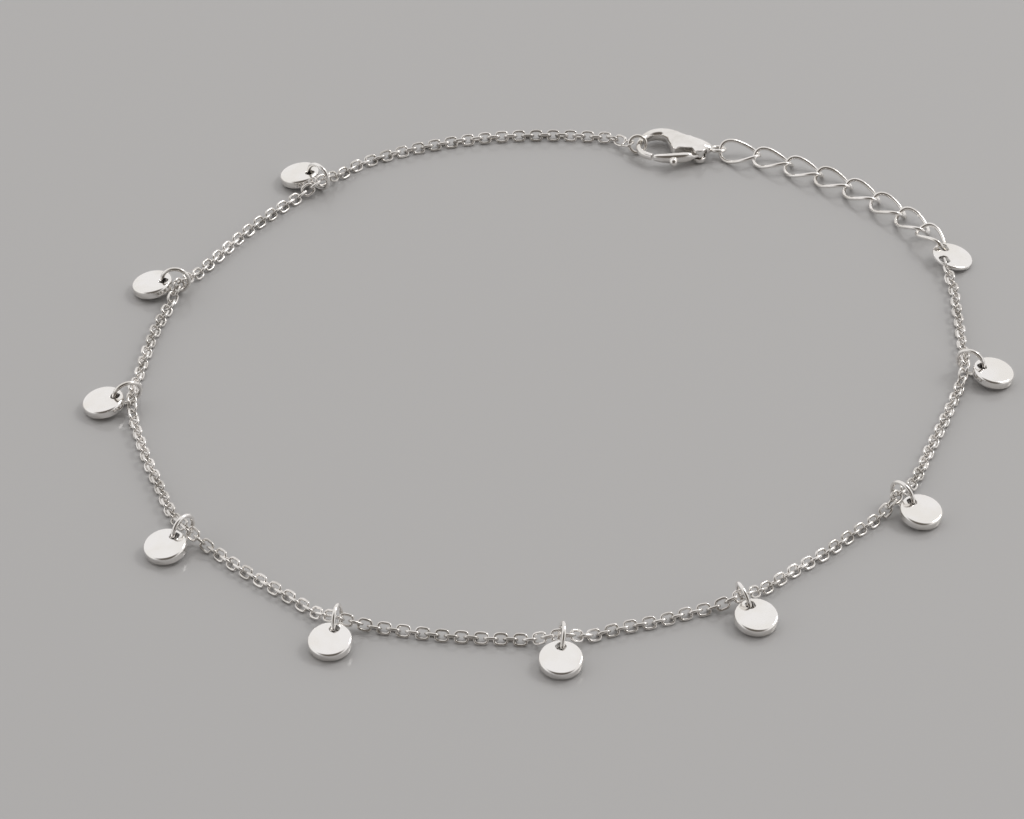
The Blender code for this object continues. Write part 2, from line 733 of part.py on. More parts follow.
def world_bounds(objects):
    depsgraph = bpy.context.evaluated_depsgraph_get()
    low = Vector((1e9, 1e9, 1e9))
    high = Vector((-1e9, -1e9, -1e9))
    for obj in objects:
        evaluated = obj.evaluated_get(depsgraph)
        mesh = evaluated.to_mesh()
        for vert in mesh.vertices:
            spot = obj.matrix_world @ vert.co
            for axis in range(3):
                low[axis] = min(low[axis], spot[axis])
                high[axis] = max(high[axis], spot[axis])
        evaluated.to_mesh_clear()
    return low, high


def main():
    clear_scene()
    places = extender_places()
    tag_place = tag_matrix(places)
    anchors = end_anchors(tag_place)
    pieces = []
    tips = []
    end_heights = []
    for end in (0, 1):
        anchor, beyond = anchors[end]
        axis = end_link_axis(anchor, CHAIN_ROUTE[-end], END_LINK_CLIMBS[end])
        tip = anchor + axis * beyond
        foot = tip - axis * LINK_LENGTH
        end_heights.append(max(CHAIN_AXIS_HEIGHT, foot.z))
        tips.append((tip.x / MM, tip.y / MM))
        name = "chain_end_link_%d" % (end + 1)
        pieces.append(build_end_link(name, anchor, beyond, axis, END_LINK_ROLLS[end]))
    rows = [tips[0]] + CHAIN_ROUTE + [tips[1]]
    fine, lengths, row_lengths = smooth_route(rows)
    ring_lengths = [d for d, row in zip(row_lengths, rows) if len(row) > 2]
    pieces.append(build_chain(fine, lengths, ring_lengths, end_heights))
    charm_rows = [row for row in CHAIN_ROUTE if len(row) > 2]
    for number, row in enumerate(charm_rows, start=1):
        pieces.extend(build_charm(number, row))
    pieces.append(build_end_ring())
    pieces.extend(build_clasp())
    pieces.extend(build_extender(places))
    pieces.append(build_tag(tag_place))

    bpy.context.view_layer.update()
    low, high = world_bounds(pieces)
    shift = Vector((-(low.x + high.x) / 2.0, -(low.y + high.y) / 2.0, -low.z))
    for obj in bpy.context.scene.objects:
        obj.matrix_world = Matrix.Translation(shift) @ obj.matrix_world
    bpy.context.view_layer.update()


main()
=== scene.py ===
"""Looks of the charm anklet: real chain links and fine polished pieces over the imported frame."""
import json
import math

import bmesh
import bpy
import numpy as np
from mathutils import Matrix, Vector


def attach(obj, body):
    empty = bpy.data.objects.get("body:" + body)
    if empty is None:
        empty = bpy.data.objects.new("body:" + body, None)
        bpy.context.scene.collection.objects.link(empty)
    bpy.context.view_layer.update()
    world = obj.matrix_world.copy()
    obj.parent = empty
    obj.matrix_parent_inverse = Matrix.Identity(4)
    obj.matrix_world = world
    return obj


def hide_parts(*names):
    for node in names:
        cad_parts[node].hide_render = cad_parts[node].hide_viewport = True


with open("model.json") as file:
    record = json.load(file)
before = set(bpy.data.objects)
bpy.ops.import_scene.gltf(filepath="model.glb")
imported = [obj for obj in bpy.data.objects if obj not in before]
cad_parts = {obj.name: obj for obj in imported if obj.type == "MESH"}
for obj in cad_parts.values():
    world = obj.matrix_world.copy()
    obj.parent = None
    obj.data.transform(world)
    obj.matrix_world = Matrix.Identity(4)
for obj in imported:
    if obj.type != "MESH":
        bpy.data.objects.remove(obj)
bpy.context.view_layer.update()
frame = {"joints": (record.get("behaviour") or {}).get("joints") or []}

MM = 0.001

# Gaps that pieces keep from the ground and from each other
GROUND_GAP = 0.03 * MM
PIECE_GAP = 0.05 * MM

# Fine chain and its end links
CHAIN_WIDTH = 0.96 * MM
LINK_LENGTH = 1.45 * MM
LINK_WIDTH = 1.32 * MM
LINK_WIRE = 0.25 * MM
LINK_PITCH = 0.947 * MM
LINK_ROLL = math.radians(45.0)
LINK_SQUARENESS = 0.75
FINE_SQUARENESS = 0.62
FINE_STOUTER = 0.04 * MM
LINK_JITTER = 6.0
JITTER_SEED = 7
END_LINK_ROLLS = (math.radians(10.0), math.radians(86.0))
END_LINK_CLIMBS = (0.35, 0.12)

# Charm rings
RING_OUTER = 3.3 * MM
RING_WIRE = 0.43 * MM
RING_CHAIN_PLAY = 0.2 * MM
RING_CHAIN_DROP = 0.23 * MM
RING_RISE_LENGTH = 3.6 * MM
RING_LEAN_HEIGHT = 1.1 * MM

# Charm discs
DISC_DIAMETER = 4.3 * MM
DISC_THICKNESS = 1.05 * MM
DISC_TOP_BEVEL = 0.12 * MM
DISC_BOTTOM_ROUND = 0.26 * MM
DISC_HOLE = 1.0 * MM
DISC_HOLE_TO_EDGE = 0.84 * MM
DISC_HOLE_SHIFT = 0.145 * MM
DISC_RING_GAP = 0.11 * MM
TILT_SINE = 0.19

# End ring between chain and clasp
END_RING_OUTER = 2.25 * MM
END_RING_WIRE = 0.38 * MM
END_RING_TILT = math.radians(62.0)
END_RING_TURN = math.radians(-8.0)
END_RING_HOOK_PLAY = 0.22 * MM
END_RING_ASIDE = 0.56 * MM

# Extender links
CURB_LENGTH = 4.8 * MM
CURB_WIDTH = 3.1 * MM
CURB_WIRE = 0.42 * MM
CURB_TWIST = math.radians(-42.0)
CURB_END_ROLLS = (math.radians(-15.0), math.radians(-20.0))
CURB_SLACK = 0.18 * MM
CURB_LINKS = 8
CURB_LOOK_AHEAD = 0.17

# Tag disc
TAG_DIAMETER = 4.4 * MM
TAG_THICKNESS = 0.44 * MM
TAG_BEVEL = 0.1 * MM
TAG_HOLE = 1.22 * MM
TAG_HOLE_TO_EDGE = 0.73 * MM
TAG_HOLE_ANGLE = math.radians(47.7)
TAG_TILT = math.radians(14.0)
TAG_TURN = math.radians(-1.0)

# Clasp
CLASP_LENGTH = 10.0 * MM
CLASP_WIDTH = 5.2 * MM
CLASP_THICKNESS = 2.0 * MM
CLASP_PLACE = (13.6 * MM, 46.45 * MM)
CLASP_TURN = math.radians(-4.0)
EYE_OUTER = 2.04 * MM
EYE_WIRE = 0.46 * MM
EYE_ASIDE = 0.25 * MM
EYE_ROLL = math.radians(-18.0)
PIVOT_SHARE = (0.7, -0.144)
PIVOT_PIN = 0.42 * MM
PIVOT_CLEARANCE = 0.06 * MM
LUG_RADIUS = 0.72 * MM
LUG_HEIGHT = 1.7 * MM
LUG_RELIEF = 0.12 * MM
TONGUE_THICKNESS = 0.56 * MM
TONGUE_RADIUS = 0.5 * MM
LEVER_HEIGHT = 1.2 * MM
LEVER_CLEARANCE = 0.08 * MM
KNOB_RADIUS = 0.48 * MM
KNOB_SHARE = (0.425, -0.496)
CLASP_SQUARENESS = 0.8

# Clasp tables in shares of the clasp's length, width and thickness
BODY_STATIONS = [
    (0.825, 0.038, 0.081, 0.2),
    (0.76, 0.058, 0.163, 0.35),
    (0.69, 0.062, 0.231, 0.46),
    (0.61, 0.067, 0.288, 0.5),
    (0.53, 0.125, 0.317, 0.5),
    (0.46, 0.26, 0.25, 0.46),
    (0.39, 0.423, 0.173, 0.4),
    (0.29, 0.519, 0.125, 0.35),
    (0.18, 0.49, 0.104, 0.31),
    (0.095, 0.356, 0.081, 0.26),
    (0.042, 0.154, 0.065, 0.21),
    (0.036, -0.058, 0.062, 0.19),
    (0.08, -0.231, 0.065, 0.2),
    (0.188, -0.349, 0.06, 0.195),
]
LEVER_SLOT = [
    (0.63, -0.115),
    (0.54, -0.119),
    (0.44, -0.119),
    (0.34, -0.087),
    (0.24, -0.038),
    (0.24, -0.615),
    (0.63, -0.615),
]
LEVER_STATIONS = [
    (0.69, -0.183, 0.058, 0.217),
    (0.636, -0.246, 0.058, 0.217),
    (0.605, -0.273, 0.065, 0.417),
    (0.54, -0.315, 0.081, 0.5),
    (0.44, -0.354, 0.081, 0.5),
    (0.34, -0.373, 0.073, 0.45),
    (0.25, -0.369, 0.062, 0.367),
    (0.204, -0.362, 0.046, 0.267),
]

# Route of the fine chain over the ground in mm, from near the end ring round to the tag.
# Rows with more than two values pass through a charm ring: ring turn, disc turn and ring
# lean in degrees follow, turns as directions away from the chain.
CHAIN_ROUTE = [
    (11.7, 48.4),
    (9.9, 49.1),
    (5.9, 49.5),
    (2.2, 49.5),
    (-1.7, 49.2),
    (-5.4, 48.5),
    (-9.5, 47.3),
    (-13.6, 45.6),
    (-17.3, 43.3),
    (-20.6, 39.5, 139, 156, 0),
    (-22.9, 37.7),
    (-25.5, 34.8),
    (-28.3, 31.2),
    (-31.0, 26.9),
    (-33.2, 23.3),
    (-34.9, 20.4, 178, 169, 0),
    (-36.0, 17.2),
    (-37.2, 12.9),
    (-38.0, 8.1),
    (-38.5, 4.2),
    (-38.8, 0.9, -157, -170, -10),
    (-38.5, -2.2),
    (-37.7, -5.5),
    (-36.6, -9.4),
    (-35.2, -13.5),
    (-33.9, -17.4),
    (-32.0, -21.3, -129, -135, 0),
    (-29.4, -23.6),
    (-25.9, -27.1),
    (-22.0, -30.5),
    (-19.3, -33.0),
    (-16.6, -35.2, -103, -109, 5),
    (-13.6, -35.4),
    (-10.2, -36.1),
    (-6.3, -36.8),
    (-2.3, -37.2),
    (1.3, -37.4),
    (4.6, -37.8, -88, -90, -10),
    (7.6, -36.8),
    (10.9, -35.5),
    (14.3, -34.5),
    (18.0, -33.0),
    (22.3, -31.7, -68, -64, 13),
    (24.9, -29.3),
    (27.8, -26.6),
    (30.6, -24.2),
    (33.4, -21.3),
    (36.1, -18.7),
    (38.4, -15.9, -48, -43, 2),
    (40.4, -12.2),
    (42.2, -7.2),
    (43.6, -3.5),
    (44.9, 0.2),
    (45.9, 3.1),
    (46.7, 6.1, -27, -12, 0),
    (46.7, 9.6),
    (46.7, 13.7),
    (46.6, 17.8),
    (46.6, 20.0),
]

# Route of the extender over the ground in mm, from the clasp's eye to the tag
EXTENDER_ROUTE = [
    (25.2, 45.4),
    (28.4, 44.4),
    (31.6, 42.6),
    (34.6, 40.6),
    (37.7, 38.1),
    (40.6, 35.2),
    (43.2, 32.1),
    (45.1, 28.8),
    (46.4, 25.3),
]
ROUTE_STEPS = 24

# Fineness of the chain's middle line, the wire loops and the turned pieces
CHAIN_LINE_STEPS = 2400
LINK_POINTS = 32
LINK_SIDES = 12
LOOP_POINTS = 72
END_RING_POINTS = 56
EYE_POINTS = 48
WIRE_SIDES = 16
DISC_SIDES = 96
HOLE_SIDES = 48
HOLE_LIP = 0.05 * MM

RING_RADIUS = (RING_OUTER - RING_WIRE) / 2.0
RING_TO_CHAIN = RING_RADIUS - RING_WIRE / 2.0 - CHAIN_WIDTH / 2.0 - RING_CHAIN_PLAY
RING_CHAIN_HEIGHT = RING_OUTER / 2.0 - RING_CHAIN_DROP
RING_TO_DISC_HOLE = RING_RADIUS - DISC_HOLE_SHIFT
CHAIN_AXIS_HEIGHT = CHAIN_WIDTH / 2.0 + GROUND_GAP
DISC_HOLE_REACH = DISC_DIAMETER / 2.0 - DISC_HOLE_TO_EDGE
CURB_PITCH = CURB_LENGTH - 2.0 * CURB_WIRE - CURB_SLACK
EYE_CENTRE = (CLASP_LENGTH - EYE_OUTER / 2.0, EYE_ASIDE)
PIVOT = (PIVOT_SHARE[0] * CLASP_LENGTH, PIVOT_SHARE[1] * CLASP_WIDTH)
TAG_HOLE_IN = (TAG_DIAMETER / 2.0 - TAG_HOLE_TO_EDGE) * math.cos(TAG_HOLE_ANGLE)
TAG_HOLE_SIDE = (TAG_DIAMETER / 2.0 - TAG_HOLE_TO_EDGE) * math.sin(TAG_HOLE_ANGLE)


def disc_tilt():
    """Tilt that lifts the disc's hole side clear of the ring's lower strand."""
    edge = RING_TO_DISC_HOLE - DISC_THICKNESS * TILT_SINE - DISC_HOLE / 2.0
    strand = RING_OUTER / 2.0 - math.sqrt(RING_RADIUS ** 2 - edge ** 2)
    top = strand + RING_WIRE / 2.0 * RING_RADIUS / math.sqrt(RING_RADIUS ** 2 - edge ** 2)
    arm = DISC_DIAMETER / 2.0 - DISC_BOTTOM_ROUND + DISC_HOLE_REACH + DISC_HOLE / 2.0
    return math.asin((top + DISC_RING_GAP) / arm)


DISC_TILT = disc_tilt()


# Layout, as in the part
def smooth_route(rows):
    """Points along a smooth open curve through the rows, with the length at every row."""
    knots = [Vector((row[0] * MM, row[1] * MM, 0.0)) for row in rows]
    knots = [2.0 * knots[0] - knots[1]] + knots + [2.0 * knots[-1] - knots[-2]]
    fine = [knots[1].copy()]
    at_row = [0]
    for i in range(1, len(knots) - 2):
        before, start, end, after = knots[i - 1:i + 3]
        for step in range(1, ROUTE_STEPS + 1):
            t = step / ROUTE_STEPS
            a = 2.0 * start
            b = end - before
            c = 2.0 * before - 5.0 * start + 4.0 * end - after
            d = 3.0 * start - before - 3.0 * end + after
            fine.append((a + b * t + c * t * t + d * t * t * t) / 2.0)
        at_row.append(len(fine) - 1)
    lengths = [0.0]
    for near, far in zip(fine, fine[1:]):
        lengths.append(lengths[-1] + (far - near).length)
    return fine, lengths, [lengths[i] for i in at_row]


def point_at(fine, lengths, distance):
    distance = min(max(distance, 0.0), lengths[-1])
    low = 0
    high = len(lengths) - 1
    while high - low > 1:
        middle = (low + high) // 2
        if lengths[middle] <= distance:
            low = middle
        else:
            high = middle
    share = (distance - lengths[low]) / max(lengths[high] - lengths[low], 1e-12)
    return fine[low].lerp(fine[high], share)


def chain_height(distance, high_spots):
    """The chain lies on the ground and climbs to each spot that carries it higher."""
    height = CHAIN_AXIS_HEIGHT
    for place, top in high_spots:
        share = abs(distance - place) / RING_RISE_LENGTH
        if share < 1.0:
            rise = 0.5 + 0.5 * math.cos(math.pi * share)
            height = max(height, CHAIN_AXIS_HEIGHT + rise * (top - CHAIN_AXIS_HEIGHT))
    return height


def direction(degrees):
    angle = math.radians(degrees)
    return Vector((math.cos(angle), math.sin(angle), 0.0))


def frame_matrix(x_axis, z_axis, origin):
    x = x_axis.normalized()
    y = z_axis.cross(x).normalized()
    z = x.cross(y)
    matrix = Matrix((x, y, z)).transposed().to_4x4()
    matrix.translation = origin
    return matrix


def clasp_matrix():
    seat = Vector((CLASP_PLACE[0], CLASP_PLACE[1], CLASP_THICKNESS / 2.0 + GROUND_GAP))
    return Matrix.Translation(seat) @ Matrix.Rotation(CLASP_TURN, 4, "Z")


def end_ring_matrix():
    """The ring hangs on the hook's bend, its far strand inside the hook."""
    bend = min(BODY_STATIONS)
    inner_edge = bend[0] * CLASP_LENGTH + bend[2] * CLASP_WIDTH
    radius = (END_RING_OUTER - END_RING_WIRE) / 2.0
    along = inner_edge + END_RING_HOOK_PLAY + END_RING_WIRE / 2.0 - radius
    spot = clasp_matrix() @ Vector((along, END_RING_ASIDE, 0.0))
    spot.z = radius * math.sin(END_RING_TILT) + END_RING_WIRE / 2.0 + GROUND_GAP
    turn = Matrix.Rotation(END_RING_TURN, 4, "Z") @ Matrix.Rotation(END_RING_TILT, 4, "X")
    return Matrix.Translation(spot) @ turn


def extender_places():
    """Middle, direction and roll of each extender link, from the clasp's eye to the tag."""
    eye = clasp_matrix() @ Vector((EYE_CENTRE[0], EYE_CENTRE[1], 0.0))
    rows = [(eye.x / MM, eye.y / MM)] + EXTENDER_ROUTE
    fine, lengths, _ = smooth_route(rows)
    eye_play = (EYE_OUTER - CURB_WIRE) / 2.0 - EYE_WIRE - PIECE_GAP
    first = (CURB_LENGTH - CURB_WIRE) / 2.0 + eye_play
    places = []
    for i in range(CURB_LINKS):
        place = first + CURB_PITCH * i
        spot = point_at(fine, lengths, place)
        ahead = point_at(fine, lengths, place + CURB_LENGTH * CURB_LOOK_AHEAD)
        back = point_at(fine, lengths, place - CURB_LENGTH * CURB_LOOK_AHEAD)
        roll = 0.0
        if i == 0:
            roll = -CURB_END_ROLLS[0]
        if i == CURB_LINKS - 1:
            roll = CURB_END_ROLLS[1]
        places.append((spot, (ahead - back).normalized(), roll))
    return places


def tag_matrix(places):
    """The tag's first hole takes the tip of the last extender link."""
    spot, along, _ = places[-1]
    hole_spot = spot + along * (CURB_LENGTH - CURB_WIRE) / 2.0
    tilt = Matrix.Rotation(TAG_TILT, 3, "Y")
    turn = Matrix.Rotation(TAG_TURN, 3, "Z")
    rotation = turn @ tilt
    hole_local = Vector((-TAG_HOLE_IN, TAG_HOLE_SIDE, TAG_THICKNESS / 2.0))
    offset = rotation @ hole_local
    foot = (TAG_DIAMETER / 2.0 - TAG_BEVEL) * math.sin(TAG_TILT)
    seat = Vector((hole_spot.x - offset.x, hole_spot.y - offset.y, foot))
    return Matrix.Translation(seat) @ rotation.to_4x4()


# The part moved itself so that its footprint is centred; the hinge shows by how much
hinge = Vector(frame["joints"][0]["pos_m"])
hinge_before = clasp_matrix() @ Vector((PIVOT[0], PIVOT[1], 0.0))
SHIFT = Vector((hinge.x - hinge_before.x, hinge.y - hinge_before.y, 0.0))
TO_WORLD = Matrix.Translation(SHIFT)


# Materials
def noise(tree, vector, scale, detail):
    node = tree.nodes.new("ShaderNodeTexNoise")
    node.inputs["Scale"].default_value = scale
    node.inputs["Detail"].default_value = detail
    tree.links.new(vector, node.inputs["Vector"])
    return node.outputs["Fac"]


def bump(tree, height, strength, distance):
    node = tree.nodes.new("ShaderNodeBump")
    node.inputs["Strength"].default_value = strength
    node.inputs["Distance"].default_value = distance
    tree.links.new(height, node.inputs["Height"])
    return node


def silver_material(name, tint, rough, wear, grain):
    """Polished silver: faint polishing waves, fine hairlines, soft tarnish in patches."""
    mat = bpy.data.materials.new(name)
    mat.use_nodes = True
    tree = mat.node_tree
    shader = tree.nodes["Principled BSDF"]
    shader.inputs["Metallic"].default_value = 1.0
    place = tree.nodes.new("ShaderNodeTexCoord").outputs["Object"]

    shade = tree.nodes.new("ShaderNodeValToRGB")
    worn, clean = shade.color_ramp.elements
    worn.position = 0.36
    worn.color = (tint[0] * wear, tint[1] * wear * 0.99, tint[2] * wear * 0.965, 1.0)
    clean.position = 0.62
    clean.color = (tint[0], tint[1], tint[2], 1.0)
    tree.links.new(noise(tree, place, 420.0, 4.0), shade.inputs["Fac"])
    tree.links.new(shade.outputs["Color"], shader.inputs["Base Color"])

    rough_range = tree.nodes.new("ShaderNodeMapRange")
    rough_range.inputs["From Min"].default_value = 0.3
    rough_range.inputs["From Max"].default_value = 0.7
    rough_range.inputs["To Min"].default_value = rough * 0.7
    rough_range.inputs["To Max"].default_value = rough * 1.45
    tree.links.new(noise(tree, place, 1500.0, 5.0), rough_range.inputs["Value"])
    tree.links.new(rough_range.outputs["Result"], shader.inputs["Roughness"])

    stretch = tree.nodes.new("ShaderNodeMapping")
    stretch.inputs["Scale"].default_value = (350.0, 6000.0, 2600.0)
    stretch.inputs["Rotation"].default_value = (0.3, 0.2, 0.7)
    tree.links.new(place, stretch.inputs["Vector"])
    wave_bump = bump(tree, noise(tree, place, grain, 3.0), 0.14, 0.00001)
    hairs = noise(tree, stretch.outputs["Vector"], 3.0, 2.0)
    hair_bump = bump(tree, hairs, 0.12, 0.000002)
    tree.links.new(wave_bump.outputs["Normal"], hair_bump.inputs["Normal"])
    tree.links.new(hair_bump.outputs["Normal"], shader.inputs["Normal"])
    return mat


MATERIALS = {
    "chain_silver": silver_material("chain_silver_fine", (0.93, 0.905, 0.88), 0.08, 0.66, 900.0),
    "disc_silver": silver_material("disc_silver_fine", (0.95, 0.935, 0.922), 0.1, 0.96, 500.0),
    "polished_silver": silver_material("polished_silver_fine", (0.94, 0.92, 0.9), 0.08, 0.86,
                                       700.0),
}


# Mesh builders
def new_piece(name, mesh, slot, body, *nodes):
    """Links a finished piece, gives it its finish and lets it stand for its CAD nodes."""
    obj = bpy.data.objects.new(name, mesh)
    bpy.context.scene.collection.objects.link(obj)
    mesh.materials.clear()
    mesh.materials.append(MATERIALS[slot])
    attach(obj, body)
    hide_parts(*nodes)
    return obj


def mesh_from(name, verts, faces):
    mesh = bpy.data.meshes.new(name)
    mesh.from_pydata([tuple(v) for v in verts], [], [tuple(f) for f in faces])
    mesh.update()
    for poly in mesh.polygons:
        poly.use_smooth = True
    return mesh


def mesh_of(name, bm):
    mesh = bpy.data.meshes.new(name)
    bm.to_mesh(mesh)
    bm.free()
    return mesh


def loop_arrays(points, wire, sides):
    """Vertices and faces of a closed loop of round wire around its own middle."""
    pts = np.array([tuple(p) for p in points])
    count = len(pts)
    along = np.roll(pts, -1, axis=0) - np.roll(pts, 1, axis=0)
    along /= np.linalg.norm(along, axis=1)[:, None]
    out = pts - along * np.sum(pts * along, axis=1)[:, None]
    out /= np.linalg.norm(out, axis=1)[:, None]
    side = np.cross(along, out)
    angle = 2.0 * np.pi * (np.arange(sides) + 0.5) / sides
    ring = out[:, None, :] * np.cos(angle)[None, :, None]
    ring = ring + side[:, None, :] * np.sin(angle)[None, :, None]
    verts = pts[:, None, :] + ring * wire / 2.0
    i = np.arange(count)[:, None]
    k = np.arange(sides)[None, :]
    nxt_i = (i + 1) % count
    nxt_k = (k + 1) % sides
    quads = np.stack(np.broadcast_arrays(i * sides + k, i * sides + nxt_k,
                                         nxt_i * sides + nxt_k, nxt_i * sides + k), axis=-1)
    return verts.reshape(-1, 3), quads.reshape(-1, 4)[:, ::-1]


def moved(verts, matrix):
    m = np.array(matrix)
    return verts @ m[:3, :3].T + m[:3, 3]


def circle_points(outer, wire, count):
    radius = (outer - wire) / 2.0
    angles = [2.0 * math.pi * i / count for i in range(count)]
    return [Vector((radius * math.cos(a), radius * math.sin(a), 0.0)) for a in angles]


def oval_points(length, width, wire, count, squareness, twist=0.0):
    """Oval loop along local X whose two ends are rolled by the twist to either side."""
    half_long = (length - wire) / 2.0
    half_wide = (width - wire) / 2.0
    points = []
    for i in range(count):
        angle = 2.0 * math.pi * (i + 0.5) / count
        x = math.copysign(abs(math.cos(angle)) ** squareness, math.cos(angle))
        y = math.copysign(abs(math.sin(angle)) ** squareness, math.sin(angle))
        roll = twist * x
        flat = y * half_wide
        points.append(Vector((x * half_long, flat * math.cos(roll), flat * math.sin(roll))))
    return points


def joined_loops(name, shapes):
    """One mesh of many wire loops: shapes are (points, wire, sides, matrix)."""
    all_verts = []
    all_faces = []
    offset = 0
    for points, wire, sides, matrix in shapes:
        verts, faces = loop_arrays(points, wire, sides)
        all_verts.append(moved(verts, matrix))
        all_faces.append(faces + offset)
        offset += len(verts)
    return mesh_from(name, np.concatenate(all_verts), np.concatenate(all_faces))


# Chain
places = extender_places()
tag_place = tag_matrix(places)
ring_radius = (END_RING_OUTER - END_RING_WIRE) / 2.0
ring_spot = end_ring_matrix() @ Vector((-ring_radius, 0.0, 0.0))
hole_spot = tag_place @ Vector((-TAG_HOLE_IN, -TAG_HOLE_SIDE, TAG_THICKNESS / 2.0))
anchors = [
    (ring_spot, LINK_WIRE + END_RING_WIRE / 2.0 + PIECE_GAP),
    (hole_spot, LINK_WIRE / 2.0 + PIECE_GAP),
]
LINK_SHAPE = oval_points(LINK_LENGTH, LINK_WIDTH, LINK_WIRE, LINK_POINTS, FINE_SQUARENESS)
# The links between the two end links have slightly stouter wire
FINE_WIRE = LINK_WIRE + FINE_STOUTER
FINE_SHAPE = oval_points(LINK_LENGTH + 2.0 * FINE_STOUTER, LINK_WIDTH + FINE_STOUTER, FINE_WIRE,
                         LINK_POINTS, FINE_SQUARENESS)

tips = []
end_heights = []
for end in (0, 1):
    anchor, beyond = anchors[end]
    next_row = CHAIN_ROUTE[-end]
    toward = Vector((anchor.x - next_row[0] * MM, anchor.y - next_row[1] * MM, 0.0))
    toward.normalize()
    climb = END_LINK_CLIMBS[end]
    axis = toward * math.sqrt(1.0 - climb * climb) + Vector((0.0, 0.0, climb))
    tip = anchor + axis * beyond
    foot = tip - axis * LINK_LENGTH
    end_heights.append(max(CHAIN_AXIS_HEIGHT, foot.z))
    tips.append((tip.x / MM, tip.y / MM))
    up = Matrix.Rotation(END_LINK_ROLLS[end], 3, axis) @ Vector((0.0, 0.0, 1.0))
    middle = anchor + axis * (beyond - LINK_LENGTH / 2.0)
    place = TO_WORLD @ frame_matrix(axis, up, middle)
    name = "chain_end_link_%d" % (end + 1)
    mesh = joined_loops(name + "_fine", [(LINK_SHAPE, LINK_WIRE, LINK_SIDES, place)])
    new_piece(name + "_fine", mesh, "chain_silver", "anklet", name)

rows = [tips[0]] + CHAIN_ROUTE + [tips[1]]
route, route_lengths, row_lengths = smooth_route(rows)
ring_marks = [d for d, row in zip(row_lengths, rows) if len(row) > 2]
chain_start = LINK_LENGTH + PIECE_GAP
chain_stop = route_lengths[-1] - chain_start
high_spots = [(chain_start, end_heights[0]), (chain_stop, end_heights[1])]
high_spots += [(mark, RING_CHAIN_HEIGHT) for mark in ring_marks]

# The chain's middle line in three dimensions, then one link every pitch along it
line = []
for step in range(CHAIN_LINE_STEPS + 1):
    distance = chain_start + (chain_stop - chain_start) * step / CHAIN_LINE_STEPS
    spot = point_at(route, route_lengths, distance)
    spot.z = chain_height(distance, high_spots)
    line.append(spot)
line_lengths = [0.0]
for near, far in zip(line, line[1:]):
    line_lengths.append(line_lengths[-1] + (far - near).length)
overlap = LINK_WIRE + PIECE_GAP / 2.0
usable = line_lengths[-1] + 2.0 * overlap
link_count = math.ceil((usable - LINK_LENGTH) / LINK_PITCH) + 1
pitch = (usable - LINK_LENGTH) / (link_count - 1)
chain_shapes = []
rng = np.random.default_rng(JITTER_SEED)
for i in range(link_count):
    middle = LINK_LENGTH / 2.0 - overlap + pitch * i
    spot = point_at(line, line_lengths, middle)
    ahead = point_at(line, line_lengths, middle + LINK_LENGTH * 0.3)
    back = point_at(line, line_lengths, middle - LINK_LENGTH * 0.3)
    axis = (ahead - back).normalized()
    roll = LINK_ROLL if i % 2 else -LINK_ROLL
    roll += math.radians(float(rng.uniform(-LINK_JITTER, LINK_JITTER)))
    up = Matrix.Rotation(roll, 3, axis) @ Vector((0.0, 0.0, 1.0))
    place = TO_WORLD @ frame_matrix(axis, up, spot)
    chain_shapes.append((FINE_SHAPE, FINE_WIRE, LINK_SIDES, place))
chain_mesh = joined_loops("chain_links", chain_shapes)
new_piece("chain_links", chain_mesh, "chain_silver", "anklet", "fine_chain")


# Discs
def arc_profile(radius, thickness, top_bevel, bottom_round, steps):
    """Outline of a disc from the middle of its foot round to the middle of its top."""
    profile = [(0.0, 0.0), ((radius - bottom_round) * 0.5, 0.0)]
    for k in range(steps + 1):
        angle = -math.pi / 2.0 + math.pi / 2.0 * k / steps
        profile.append((radius - bottom_round + bottom_round * math.cos(angle),
                        bottom_round + bottom_round * math.sin(angle)))
    for k in range(steps + 1):
        angle = math.pi / 2.0 * k / steps
        profile.append((radius - top_bevel + top_bevel * math.cos(angle),
                        thickness - top_bevel + top_bevel * math.sin(angle)))
    inner = radius - top_bevel
    for share in (0.96, 0.85, 0.6, 0.3):
        profile.append((inner * share, thickness))
    profile.append((0.0, thickness))
    return profile


def lathe_mesh(name, profile, sides):
    bm = bmesh.new()
    rings = []
    for r, z in profile:
        if r < 1e-9:
            rings.append([bm.verts.new((0.0, 0.0, z))])
            continue
        ring = []
        for k in range(sides):
            angle = 2.0 * math.pi * k / sides
            ring.append(bm.verts.new((r * math.cos(angle), r * math.sin(angle), z)))
        rings.append(ring)
    for low, high in zip(rings, rings[1:]):
        for k in range(sides):
            nxt = (k + 1) % sides
            if len(low) == 1:
                bm.faces.new((low[0], high[nxt], high[k]))
            elif len(high) == 1:
                bm.faces.new((low[k], low[nxt], high[0]))
            else:
                bm.faces.new((low[k], low[nxt], high[nxt], high[k]))
    bmesh.ops.recalc_face_normals(bm, faces=bm.faces)
    return mesh_of(name, bm)


def hole_cutter(name, radius, thickness, lip, sides):
    """Cutter for a drilled hole whose two rims are broken by a small lip."""
    profile = [
        (0.0, -thickness),
        (radius + lip + thickness * 0.5, -thickness),
        (radius + lip, -lip * 0.2),
        (radius, lip),
        (radius, thickness - lip),
        (radius + lip, thickness + lip * 0.2),
        (radius + lip + thickness * 0.5, thickness * 2.0),
        (0.0, thickness * 2.0),
    ]
    return lathe_mesh(name, profile, sides)


def bake(obj):
    """Applies the modifiers by taking the evaluated mesh, so that no cutter is needed later."""
    depsgraph = bpy.context.evaluated_depsgraph_get()
    mesh = bpy.data.meshes.new_from_object(obj.evaluated_get(depsgraph))
    bpy.data.objects.remove(obj)
    return mesh


def boolean(obj, cutter, operation):
    mod = obj.modifiers.new("cut", "BOOLEAN")
    mod.operation = operation
    mod.solver = "EXACT"
    mod.object = cutter


